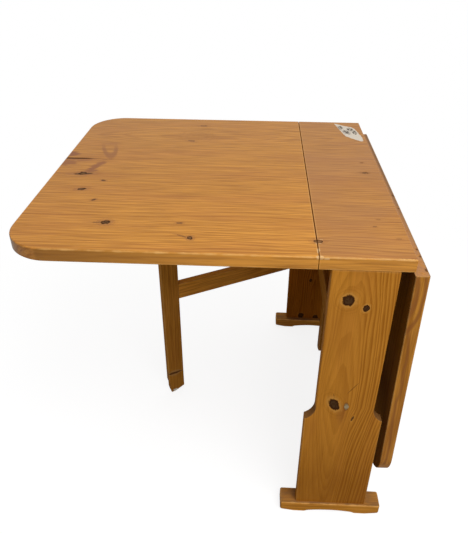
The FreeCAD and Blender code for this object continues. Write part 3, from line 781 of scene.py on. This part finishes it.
def panel_marks(xyz, face, solid, colour, gloss, height):
    """Dull shoulders and painted shade low down, plus the filler and scratches of the front panel.
    """
    x, y, z = xyz
    # Painted shade: the panel darkens towards the floor, mottled by this noise.
    dirt_and_shade = solid.noise((90, 25, 25), 2.0, 15.0).fade(0.3, 0.7) * 0.3 + 0.7
    front = y.fade(3.0, 1.5)
    cloud = solid.sway((30, 8, 8), 2.0, 5.0, 1.0)
    stain = (oval(face, (344, -6), (38, 13)) + cloud).fade(1.2, 0.2)
    filler = oval(face, (366.0, 2.0), (11.0, 4.6), -4) + solid.sway((4, 3, 3), 3.0, 2.0, 0.7)
    nick = oval(face, (420.0, 10.0), (22.0, 0.9), 32).fade(1.2, 0.4)
    tick = oval(face, (396.0, -27.0), (8.0, 0.9), -15).fade(1.2, 0.4)
    colour = colour.layered((cove_end(x, z) * 0.8, shade(END, 0.95)),
                            (z.fade(320.0, 60.0) * dirt_and_shade * 0.47, shade(PANEL_LOW_SHADE)),
                            (front * stain * 0.45, shade(RUDDY, 0.9)),
                            (front * filler.fade(1.35, 1.05) * 0.6, shade(BARK, 3.4)),
                            (front * filler.fade(1.0, 0.8) * 0.9, shade(FILLER)),
                            (front * nick.most(tick) * 0.8, shade(BARK, 1.5)))
    return colour, gloss, height - front * nick * 1.5


for node, wood, knots in (("front_end_panel", FRONT_WOOD, FRONT_KNOTS),
                          ("rear_end_panel", REAR_WOOD, REAR_KNOTS)):
    cover(node, pine("pine_" + node, "z", "x", span(node), wood, knots, panel_marks))
print("end panels covered, with hollow shoulders of radius", COVE_RADIUS)

# %% [markdown]
# ## Feet, rails and blocks
# The pieces below the top come from plainer wood with few knots, so the same recipe serves with a
# straighter log and more wear: feet are kicked and scuffed along their upper arrises.

# %% Plain boards
FOOT_TOP_DARK = (0.270, 0.135, 0.055)


def plain(seed, side, depth, ring=5.0, tone=0.9, wear=0.35):
    """A log description for a board with few knots."""
    return {"seed": seed, "side": (side,), "depth": (depth,), "ring": (ring,), "vertex": (0,),
            "tilt": (0.02,), "wander": 10, "drift": (300, 40, 40), "tone": tone, "wear": wear,
            "varnish": 0.03}


def foot_marks(xyz, face, solid, colour, gloss, height):
    """Mottled, darker upper face and dull ends of a foot."""
    x, _, z = xyz
    top_mottle = solid.noise((40, 20, 20), 3.0, 6.0).fade(0.35, 0.6) * 0.35 + 0.5
    colour = colour.layered((z.fade(28.5, 29.4) * top_mottle, shade(FOOT_TOP_DARK)),
                            (abs(x).fade(119.5, 121.2) * 0.6, shade(END, 1.2)))
    return colour, gloss, height


for node, seed in (("front_foot", 5.0), ("rear_foot", 6.0)):
    wood = plain(seed, span(node)[0].y - 30, -25, 4.5, 1.15, 0.8)
    cover(node, pine("pine_" + node, "x", "y", span(node), wood, marks=foot_marks))
for node, seed, height in (("stretcher", 7.0, 260), ("top_rail", 8.0, 640)):
    cover(node, pine("pine_" + node, "y", "z", span(node), plain(seed, height, -12, 5.0, 0.8)))
cleat_wood = plain(9.0, -40, 690, 4.0, 0.85, 0)
cover("top_cleats", pine("pine_cleats", "x", "y", span("top_cleats"), cleat_wood))
for node, seed in (("left_lower_pivot_block", 10.0), ("left_upper_pivot_block", 11.0),
                   ("right_lower_pivot_block", 12.0), ("right_upper_pivot_block", 13.0)):
    low, high = span(node)
    wood = plain(seed, low.x - 20, low.z - 30, 3.5, 0.8)
    cover(node, pine("pine_" + node, "y", "x", (low, high), wood))
print("feet, rails, cleats and blocks covered")

# %% [markdown]
# ## Gates
# A gate is drawn as it was built: along its own rails, from its pivot outwards. So its ruler starts
# at the pivot and is turned by the angle at which the gate stands. The leg of the open gate was cut
# across near its foot at some time and joined again, which left a slanting dark line.

# %% Marks of the gate legs
LEG_LOW_SHADE = (0.200, 0.064, 0.004)
PALE_SOLE = (0.880, 0.800, 0.660)
OLD_CUT = 75.5                     # height of the cut across the open gate's leg


def low_shade_and_pale_sole(xyz, face, solid, colour, gloss, height):
    """Painted shade low on a leg, and a pale spot on its sole."""
    ragged = solid.sway((7, 7, 7), 3.0, 52.0, 1.4)
    spot = (oval(face, (4.0, 470.0), (7.0, 9.0)) + ragged).fade(1.1, 0.6)
    # Painted shade: the leg darkens towards the floor.
    colour = colour.layered((xyz[2].fade(520.0, 120.0) * 0.42, shade(LEG_LOW_SHADE)),
                            (spot, shade(PALE_SOLE)))
    return colour, gloss, height


def mended_foot(xyz, face, solid, colour, gloss, height):
    """Old cut across the foot of the open gate's leg, over its painted low shade and pale sole."""
    x, _, z = xyz
    wavy = solid.sway((9, 9, 9), 3.0, 51.0, 3.0)
    cut = abs(z - OLD_CUT + wavy + (x.fade(440.0, 470.0) - 1.0) * 1.5)
    opened = x.fade(441.0, 468.0) * x.fade(492.0, 478.0) * 3.2 + 0.8
    crack = (cut / opened).fade(1.3, 0.6)
    lips = (cut / opened).fade(3.4, 2.0) * (1.0 - crack)
    colour, gloss, height = low_shade_and_pale_sole(xyz, face, solid, colour, gloss, height)
    colour = colour.layered((lips * 0.25, shade(RAW, 0.6)), (crack * 0.85, shade(BARK, 1.2)))
    return colour, gloss, height - crack * 2.5


print("old cut", OLD_CUT, "mm above the floor")

# %% Gate pieces
OPENING = JOINTS["left_gate_swing"]["range_deg"][1]
GATES = {"left": (-90 - OPENING, 14.0, mended_foot), "right": (90, 19.0, low_shade_and_pale_sole)}
# The lower rail's tone of 1.42 is painted light: it is made lighter for the light that reaches it
# under the table.
GATE_TONES = {"leg": 1.02, "stile": 0.85, "lower_rail": 1.42, "upper_rail": 1.1}


def shut_size(part):
    """Box of a gate piece along its own rails, read off the right gate, which lies shut."""
    pivot = turning_line("right_gate_swing")
    low, high = span("right_gate_" + part)
    return (low.y - pivot.y, pivot.x - high.x, low.z), (high.y - pivot.y, pivot.x - low.x, high.z)


for hand, (degrees, seed, leg_marks) in GATES.items():
    pivot = JOINTS[hand + "_gate_swing"]["pos_m"]
    for index, (part, tone) in enumerate(GATE_TONES.items()):
        corners = shut_size(part)
        upright = part in ("leg", "stile")
        grain, across = ("z", "x") if upright else ("x", "z")
        side = corners[0][0] - 20 if upright else corners[0][2] - 30
        wood = plain(seed + index, side, -24, 4.6, tone, 0.28)
        node = f"{hand}_gate_{part}"
        cover(node, pine("pine_" + node, grain, across, corners, wood, (),
                         leg_marks if part == "leg" else None,
                         (pivot[0], pivot[1], 0), (0, 0, math.radians(degrees))))
print("gates:", len(GATES) * len(GATE_TONES), "pieces covered")

# %% [markdown]
# ## Plugs and steel
# A cross-cut plug shows end grain and stays paler than the board round it. The hinges, pins and
# screws are zinc-plated steel, which is metal with a slightly yellow tint, broken up by fine
# scratches and a dull bloom. They sit in the dark under the top, so they need little more.

# %% Plugs
PLUG_PITH = (9.0, 360.0)           # sideways and up, just off the plug, so that its rings are arcs
PLUG_RING = 1.6
PLUG_EARLY, PLUG_LATE = (0.40, 0.31, 0.17), (0.24, 0.16, 0.08)
PLUG_DIRT = (0.16, 0.11, 0.06)


def plug_grain():
    """Pale end-grain plug with small rings."""
    material, shader, start = paint("pine_plug", Specular_IOR_Level=0.3)
    here = measured(start)
    x, _, z = here.axes()
    side, up = x - PLUG_PITH[0], z - PLUG_PITH[1]
    ring = (side * side + up * up).root() / PLUG_RING
    late = ring.math("FRACT").fade(0.3, 1.0) * 0.6
    mottled = here.noise((2.5, 2.5, 2.5), 3.0, 3.0).fade(0.5, 0.7)
    colour = late.between(shade(PLUG_EARLY), shade(PLUG_LATE))
    plug_in(shader, Base_Color=colour.blend(mottled * 0.5, shade(PLUG_DIRT)))
    return material


cover("stretcher_plugs", plug_grain())
print("plugs: rings", PLUG_RING, "mm apart")

# %% Steel
def steel(name, colour, roughness):
    """Zinc-plated steel with a bloom and fine scratches."""
    material, shader, start = paint(name, roughness, Metallic=1.0)
    here = measured(start)
    bloom = here.noise((9, 9, 9), 4.0, 1.0)
    scratch = here.noise((0.5, 22, 0.5), 2.0, 2.0)
    tint = bloom.fade(0.35, 0.7).between(shade(colour), shade(colour, 0.62))
    plug_in(shader, Base_Color=tint, Roughness=bloom * 0.3 + (roughness - 0.12),
            Normal=scratch.relief(0.2, 0.0001))
    return material


hinge_steel = steel("zinc_plated_hinge", (0.62, 0.52, 0.34), 0.38)
pin_steel = steel("drawn_steel_pin", (0.56, 0.56, 0.57), 0.30)
screw_steel = steel("zinc_plated_screw", (0.66, 0.57, 0.38), 0.34)
cover("stretcher_screws", screw_steel)
for node in nodes:
    if "hinge" in node:
        cover(node, hinge_steel)
    elif "gate_pins" in node:
        cover(node, pin_steel)
print("hinges, pins and stretcher screws covered")

# %% [markdown]
# ## Screws with Geometry Nodes
# Forty screws hold the hinges, the cleats and the lower pivot blocks. They are all alike, so one
# node tree makes a domed head with a cross recess and sets it on every point of a mesh, turned to
# face the way the point says. The turn of the slot is random but seeded, as a real screwdriver
# leaves it. Each body gets a mesh of its own, because its screws have to move with it.

# %% Screw tree
SCREW_SIZES = {"Head Radius": 3.4 * MM, "Head Rise": 0.8 * MM, "Recess Width": 1.0 * MM,
               "Recess Reach": 4.2 * MM}
HEAD_SEGMENTS, HEAD_RINGS = 20, 8
SLOT_SEED = 7


def screw_tree(material):
    """Node tree that sets a screw head on every point, facing along the attribute facing."""
    tree = bpy.data.node_groups.new("domed_screws", "GeometryNodeTree")
    tree.interface.new_socket("Points", in_out="INPUT", socket_type="NodeSocketGeometry")
    for name in SCREW_SIZES:
        tree.interface.new_socket(name, in_out="INPUT", socket_type="NodeSocketFloat")
    tree.interface.new_socket("Heads", in_out="OUTPUT", socket_type="NodeSocketGeometry")
    given = tree.nodes.new("NodeGroupInput")
    points, radius, rise, width, reach = [Wire(tree, given.outputs[i]) for i in range(5)]
    make = points.node
    ball = make("GeometryNodeMeshUVSphere", None,
                {"Segments": HEAD_SEGMENTS, "Rings": HEAD_RINGS, "Radius": radius})
    dome = make("GeometryNodeTransform", None,
                {"Geometry": ball, "Scale": points.vector(1.0, 1.0, rise / radius)})
    lifted = points.vector(0.0, 0.0, rise)
    bars = []
    for across, along in ((reach, width), (width, reach)):
        bar = make("GeometryNodeMeshCube", None, {"Size": points.vector(across, along, rise * 1.1)})
        bars.append(make("GeometryNodeTransform", None, {"Geometry": bar, "Translation": lifted}))
    head = make("GeometryNodeMeshBoolean", {"operation": "DIFFERENCE"},
                {"Mesh 1": dome, "Mesh 2": bars})
    facing = make("GeometryNodeInputNamedAttribute", {"data_type": "FLOAT_VECTOR"}, {0: "facing"})
    aim = make("FunctionNodeAlignRotationToVector", {"axis": "Z"}, {"Vector": facing})
    heads = make("GeometryNodeInstanceOnPoints", None,
                 {"Points": points, "Instance": head, "Rotation": aim})
    angle = make("FunctionNodeRandomValue", {"data_type": "FLOAT"},
                 {2: 0.0, 3: math.pi, "Seed": SLOT_SEED}, 1)
    heads = make("GeometryNodeRotateInstances", None,
                 {"Instances": heads, "Rotation": points.vector(0.0, 0.0, angle)})
    heads = make("GeometryNodeRealizeInstances", None, {0: heads})
    heads = make("GeometryNodeSetMaterial", None, {"Geometry": heads, "Material": material})
    result = tree.nodes.new("NodeGroupOutput")
    heads.feed(result.inputs[0], heads)
    return tree


SCREWS = screw_tree(screw_steel)
print("screw tree:", len(SCREWS.nodes), "nodes")

# %% Setting screws on a body
def set_screws(name, body, spots):
    """Plain mesh of screw heads at (place, direction) spots, riding on a body."""
    mesh = bpy.data.meshes.new(name + "_points")
    mesh.from_pydata([at for at, _ in spots], [], [])
    facing = mesh.attributes.new("facing", "FLOAT_VECTOR", "POINT")
    facing.data.foreach_set("vector", [c for _, way in spots for c in way])
    piece = set_down(name, mesh)
    modifier = piece.modifiers.new("heads", "NODES")
    modifier.node_group = SCREWS
    for item in SCREWS.interface.items_tree:
        if item.in_out == "INPUT" and item.name in SCREW_SIZES:
            modifier[item.identifier] = SCREW_SIZES[item.name]
    shaped = piece.evaluated_get(bpy.context.evaluated_depsgraph_get())
    made = bpy.data.meshes.new_from_object(shaped)
    piece.modifiers.clear()
    piece.data = made
    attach(piece, body)
    print(name, len(spots), "screws,", len(made.polygons), "faces")


print("screw heads", 2 * SCREW_SIZES["Head Radius"] / MM, "mm wide")

# %% Where the screws go
DOWN = (0, 0, -1)
FLAP_FACE = 2.0                    # a flap's open face above the hinge line, with the leaf raised
HINGE_MIDDLES = (100.0, DEPTH - 100.0)
FLAP_HOLES = ((12.0, -17.0), (12.0, 17.0), (22.0, 0.0))     # out from the hinge line, and along it
CLEAT_HOLES, CLEAT_HOLE_IN = (23.0, 43.0), 10.0             # up into the top, from the cleat's end
CLEAT_SIDE, CLEAT_SIDE_IN, CLEAT_SIDE_UP = 33.0, 20.0, 10.0     # along the table, into the panel
BLOCK_HOLE_IN = 6.5


def flap_screws(way, hand):
    """Screws of two flat flaps that point a way, -1 or 1, from the hinge line of one hand."""
    return [(place(hand * FOLD.x + way * out, middle + side, FOLD.z + FLAP_FACE), DOWN)
            for middle in HINGE_MIDDLES for out, side in FLAP_HOLES]


def hanging_screws():
    """Screws of the two flaps that hang and lean with the right leaf."""
    lean = Matrix.Rotation(-LEAN, 3, "Y")
    inwards = lean @ Vector((-1, 0, 0))
    return [(FOLD_POINT + lean @ Vector((FLAP_FACE, middle + side, -out)) * MM, inwards)
            for middle in HINGE_MIDDLES for out, side in FLAP_HOLES]


stand_spots = flap_screws(1, -1) + flap_screws(-1, 1)
cleat_low, cleat_high = span("top_cleats")
under = cleat_low.z
for hand in (-1, 1):
    for end, way in ((cleat_low.y, 1), (cleat_high.y, -1)):
        stand_spots += [(place(hand * x, end + way * CLEAT_HOLE_IN, under), DOWN)
                        for x in CLEAT_HOLES]
        beside = place(hand * CLEAT_SIDE, end + way * CLEAT_SIDE_IN, under + CLEAT_SIDE_UP)
        stand_spots.append((beside, (0, way, 0)))
for hand in ("left", "right"):
    low, high = span(hand + "_lower_pivot_block")
    stand_spots += [(place((low.x + high.x) / 2, y, low.z), DOWN)
                    for y in (low.y + BLOCK_HOLE_IN, high.y - BLOCK_HOLE_IN)]
set_screws("stand_screws", "stand", stand_spots)
set_screws("left_leaf_screws", "left_leaf", flap_screws(-1, -1))
set_screws("right_leaf_screws", "right_leaf", hanging_screws())

# %% [markdown]
# ## Torn paper
# A sticker was pulled off the far corner of the fixed board and left part of its paper behind. It
# is a real sheet, so it gets its own mesh: a many-sided outline whose edge is roughened by small
# seeded steps, then given the thickness of paper. Nothing is printed on it, and noise alone makes
# the dirt that stuck where its face came away.

# %% Sheet of paper
PAPER_OUTLINE = ((14, 748), (22, 746), (41, 731), (60, 722), (69, 704), (74, 672), (80, 636),
                 (79, 608), (72, 606), (55, 622), (36, 643), (30, 668), (24, 700))
PAPER_THICKNESS = 0.15
TEAR_SEED = 5
TEAR_STEP = 3.5                    # mm between two points of the torn edge
TEAR_REACH = 0.9                   # mm by which a point may be off


def torn_paper():
    """Sheet with a roughly torn outline, on top of the fixed board."""
    tear = random.Random(TEAR_SEED)
    points = []
    for (x0, y0), (x1, y1) in zip(PAPER_OUTLINE, PAPER_OUTLINE[1:] + PAPER_OUTLINE[:1]):
        steps = max(2, round(math.hypot(x1 - x0, y1 - y0) / TEAR_STEP))
        for step in range(steps):
            t = step / steps
            points.append((x0 + (x1 - x0) * t + tear.uniform(-TEAR_REACH, TEAR_REACH),
                           y0 + (y1 - y0) * t + tear.uniform(-TEAR_REACH, TEAR_REACH)))
    sheet = bmesh.new()
    face = sheet.faces.new([sheet.verts.new(place(x, y, TOP)) for x, y in points])
    raised = bmesh.ops.extrude_face_region(sheet, geom=[face])["geom"]
    moved = [v for v in raised if isinstance(v, bmesh.types.BMVert)]
    bmesh.ops.translate(sheet, verts=moved, vec=(0, 0, PAPER_THICKNESS * MM))
    bmesh.ops.recalc_face_normals(sheet, faces=sheet.faces)
    bmesh.ops.triangulate(sheet, faces=[f for f in sheet.faces if len(f.verts) > 4])
    mesh = bpy.data.meshes.new("torn_paper")
    sheet.to_mesh(mesh)
    sheet.free()
    return set_down("torn_paper", mesh)


paper = torn_paper()
print("paper:", len(paper.data.polygons), "faces")

# %% Paper's fibres and dirt
PAPER_DARK, PAPER_PALE = (0.66, 0.57, 0.46), (0.80, 0.72, 0.61)
PAPER_DIRT = (0.060, 0.045, 0.030)
SMUDGES = (((28, 715), (7, 15), 0), ((42, 678), (9, 19), 20), ((54, 702), (8, 15), 10),
           ((64, 676), (6, 16), 0))


def paper_fibre():
    """Off-white paper with fibres, and dull patches where its face was torn away."""
    material, shader, start = paint("torn_paper_fibre", 0.85, Specular_IOR_Level=0.2)
    here = measured(start)
    x, y, _ = here.axes()
    fibre = here.noise((3.0, 0.5, 1.0), 4.0, 2.0)
    ragged = here.sway((5, 8, 5), 4.0, 4.0, 1.6)
    crumbs = here.noise((3.4, 8.0, 3.4), 2.0, 6.0).fade(0.40, 0.50)
    smudge = nearest(here.vector(x, y, 0.0), SMUDGES, ragged).fade(1.2, 0.8) * crumbs
    colour = fibre.fade(0.3, 0.7).between(shade(PAPER_DARK), shade(PAPER_PALE))
    plug_in(shader, Base_Color=colour.blend(smudge * 0.9, shade(PAPER_DIRT)),
            Normal=fibre.relief(0.3, 0.0001))
    return material


paper.data.materials.append(paper_fibre())
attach(paper, "stand")
print("paper:", len(SMUDGES), "smudges, riding on the stand")

# %% [markdown]
# ## Floor, world and lamps
# Varnished wood needs something to reflect, or it looks like painted card. A white room gives that
# without drama: the camera and the reflections see pure white, while the light that falls on the
# wood comes from a broad lamp in front, a weaker one high behind and a grey surround. The lamps
# hang where the glossy top doesn't mirror them into the camera, or they would show as pale patches
# with hard edges. The floor is white to the eye and grey to the light, so the space under the top
# keeps its shade. Near the table it also catches a soft shadow, and that fades into plain white
# further out.

# %% Floor
WHITE = (1, 1, 1, 1)
HALF_FLOOR = 30.0
FADE_FROM, FADE_TO = 0.55, 1.5     # m from the middle, where the shadow starts to fade and is gone
FLOOR_GLOW = 0.84
SHADOW_CATCHER = (0.28, 0.28, 0.28, 1)
FLOOR_GREY = (0.40, 0.39, 0.38, 1)


def seen_directly(start):
    """1 for rays that show a surface as it looks: from the camera, a mirror or through glass."""
    camera_ray, *others = [start.node("ShaderNodeLightPath", out=name) for name in
                           ("Is Camera Ray", "Is Glossy Ray", "Is Transmission Ray")]
    return camera_ray.most(*others)


def white_floor():
    """Floor that is white to the camera, grey to the light, with the table's soft shadow."""
    material = bpy.data.materials.new("studio_floor")
    material.use_nodes = True
    tree = material.node_tree
    tree.nodes.clear()
    start = Wire(tree)
    x, y, _ = start.node("ShaderNodeTexCoord", out="Object").axes()
    far = (x * x + y * y).root().fade(FADE_FROM, FADE_TO)
    white, glow = [start.node("ShaderNodeEmission", None, {"Color": WHITE, "Strength": strength})
                   for strength in (1.0, FLOOR_GLOW)]
    catcher, grey = [start.node("ShaderNodeBsdfDiffuse", None, {"Color": colour})
                     for colour in (SHADOW_CATCHER, FLOOR_GREY)]
    near = start.node("ShaderNodeAddShader", None, {0: glow, 1: catcher})
    look = start.node("ShaderNodeMixShader", None, {0: far, 1: near, 2: white})
    look = start.node("ShaderNodeMixShader", None, {0: seen_directly(start), 1: grey, 2: look})
    end = tree.nodes.new("ShaderNodeOutputMaterial")
    look.feed(end.inputs["Surface"], look)
    return material


ground = bpy.data.meshes.new("floor")
ground.from_pydata([(-HALF_FLOOR, -HALF_FLOOR, 0), (HALF_FLOOR, -HALF_FLOOR, 0),
                    (HALF_FLOOR, HALF_FLOOR, 0), (-HALF_FLOOR, HALF_FLOOR, 0)], [], [(0, 1, 2, 3)])
ground.materials.append(white_floor())
set_down("floor", ground)
print("floor laid, shadow gone at", FADE_TO, "m")

# %% World and lamps
SURROUND = 0.40
LAMPS = (                          # name, place and target on the ruler, width in metres, watts
    ("front_lamp", (550, -950, 2250), (-150, 300, 500), 1.5, 32),
    ("high_lamp", (-200, 1500, 2900), (-200, 300, 500), 1.8, 9))


def white_room():
    """World that is white to look at and a weaker grey as light."""
    world = bpy.data.worlds.new("white_room")
    world.use_nodes = True
    start = Wire(world.node_tree)
    strength = seen_directly(start) * (1.0 - SURROUND) + SURROUND
    background = world.node_tree.nodes["Background"]
    background.inputs["Color"].default_value = WHITE
    strength.feed(background.inputs["Strength"], strength)
    bpy.context.scene.world = world


def soft_lamp(name, at, target, size, watts):
    """Square area lamp that points at a target."""
    lamp = set_down(name, bpy.data.lights.new(name, "AREA"))
    lamp.data.shape = "SQUARE"
    lamp.data.size = size
    lamp.data.energy = watts
    aim = (target - at).to_track_quat("-Z", "Y")
    lamp.matrix_world = Matrix.Translation(at) @ aim.to_matrix().to_4x4()


white_room()
for name, at, target, size, watts in LAMPS:
    soft_lamp(name, place(*at), place(*target), size, watts)
bpy.context.scene.view_settings.view_transform = "Standard"
print(len(LAMPS), "lamps hung, surround", SURROUND)
